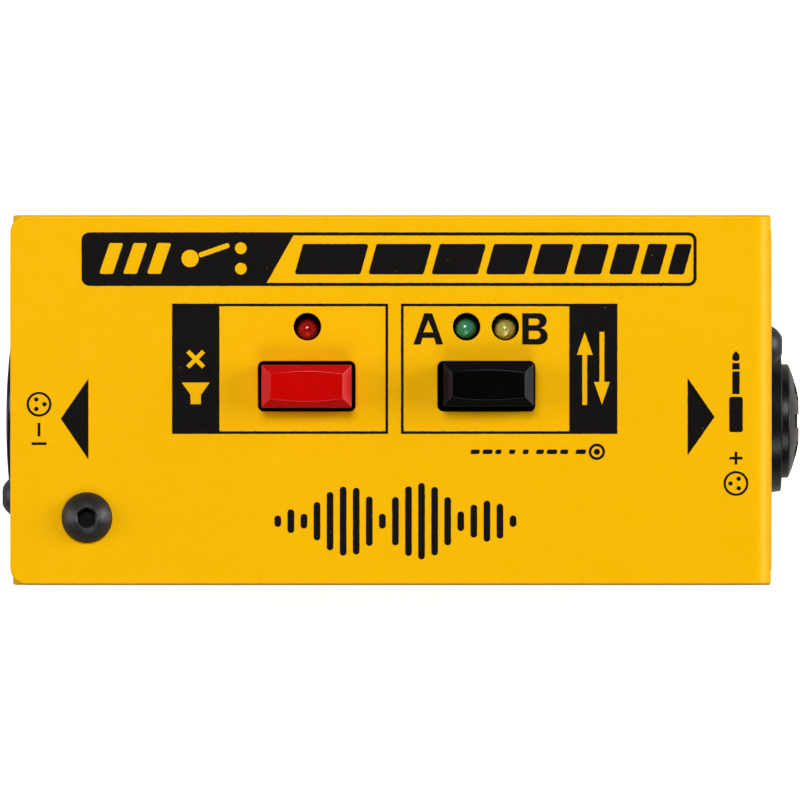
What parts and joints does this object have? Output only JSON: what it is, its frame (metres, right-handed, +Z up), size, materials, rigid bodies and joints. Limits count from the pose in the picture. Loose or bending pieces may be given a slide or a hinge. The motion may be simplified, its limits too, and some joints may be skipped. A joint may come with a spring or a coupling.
{
  "type": "desktop remote switch box",
  "caption": "Folded-steel desktop remote box with an XLR outlet, a combination XLR and jack inlet, sprung mute and select buttons and indicator lamps.",
  "frame": {"origin": "centre of the steel box's underside, on the pad's bottom face", "axes": "+Z up out of the button panel, +X along the box towards the inlet connector, -Y towards the person who presses the buttons"},
  "size_m": [0.1139, 0.0526, 0.049],
  "materials": {
    "powder_coat": "fine satin powder coat",
    "pad_rubber": "matt solid rubber",
    "black_oxide": "black oxide",
    "zinc_steel": "zinc plated",
    "spring_steel": "bright drawn",
    "contact_metal": "tinned",
    "pin_metal": "silver plated",
    "connector_black": "fine satin moulding",
    "board_green": "solder mask",
    "cap_red": "semi-gloss",
    "cap_black": "semi-gloss",
    "switch_plastic": "moulded",
    "plunger_plastic": "moulded",
    "lamp_red": "tinted clear epoxy",
    "lamp_green": "tinted clear epoxy",
    "lamp_yellow": "tinted clear epoxy",
    "spacer_plastic": "moulded",
    "resistor_coat": "lacquer",
    "capacitor_sleeve": "shrink sleeve",
    "chip_black": "moulded",
    "header_white": "moulded nylon",
    "wire_jacket": "wire insulation",
    "print_black": "silk-screened ink"
  },
  "bodies": {
    "box": {"top_cover": "powder_coat", "base_chassis": "powder_coat", "bottom_pad": "pad_rubber", "cover_screw": "black_oxide", "cover_press_nut": "zinc_steel", "underside_screws": "black_oxide", "lip_press_nuts": "zinc_steel", "main_board": "board_green", "board_standoffs": "zinc_steel", "board_screws": "zinc_steel", "switch_terminals": "contact_metal", "led_spacers": "spacer_plastic", "led_leads": "contact_metal", "resistors": "resistor_coat", "capacitors": "capacitor_sleeve", "logic_chip": "chip_black", "chip_legs": "contact_metal", "output_housing": "connector_black", "output_insert": "connector_black", "output_pins": "pin_metal", "output_screw": "black_oxide", "output_header": "header_white", "output_plug": "header_white", "output_wires": "wire_jacket", "input_housing": "connector_black", "input_insert": "connector_black", "input_xlr_contacts": "contact_metal", "input_jack_contacts": "contact_metal", "input_screw": "black_oxide", "input_board": "board_green", "link_header": "spacer_plastic", "link_pins": "contact_metal", "mute_switch_base": "switch_plastic", "mute_switch_body": "switch_plastic", "mute_spring": "spring_steel", "select_switch_base": "switch_plastic", "select_switch_body": "switch_plastic", "select_spring": "spring_steel", "mute_led": "lamp_red", "select_led_a": "lamp_green", "select_led_b": "lamp_yellow"},
    "mute_button": {"mute_cap": "cap_red", "mute_plunger": "plunger_plastic"},
    "select_button": {"select_cap": "cap_black", "select_plunger": "plunger_plastic"}
  },
  "joints": [
    {"name": "mute_press", "type": "slide", "parent": "box", "child": "mute_button", "axis": [0, 0, -1], "range_m": [0, 0.0025], "stiffness_N_per_m": 500, "springref_m": -0.001, "deforming": ["mute_spring"]},
    {"name": "select_press", "type": "slide", "parent": "box", "child": "select_button", "axis": [0, 0, -1], "range_m": [0, 0.0025], "stiffness_N_per_m": 500, "springref_m": -0.001, "deforming": ["select_spring"]}
  ]
}
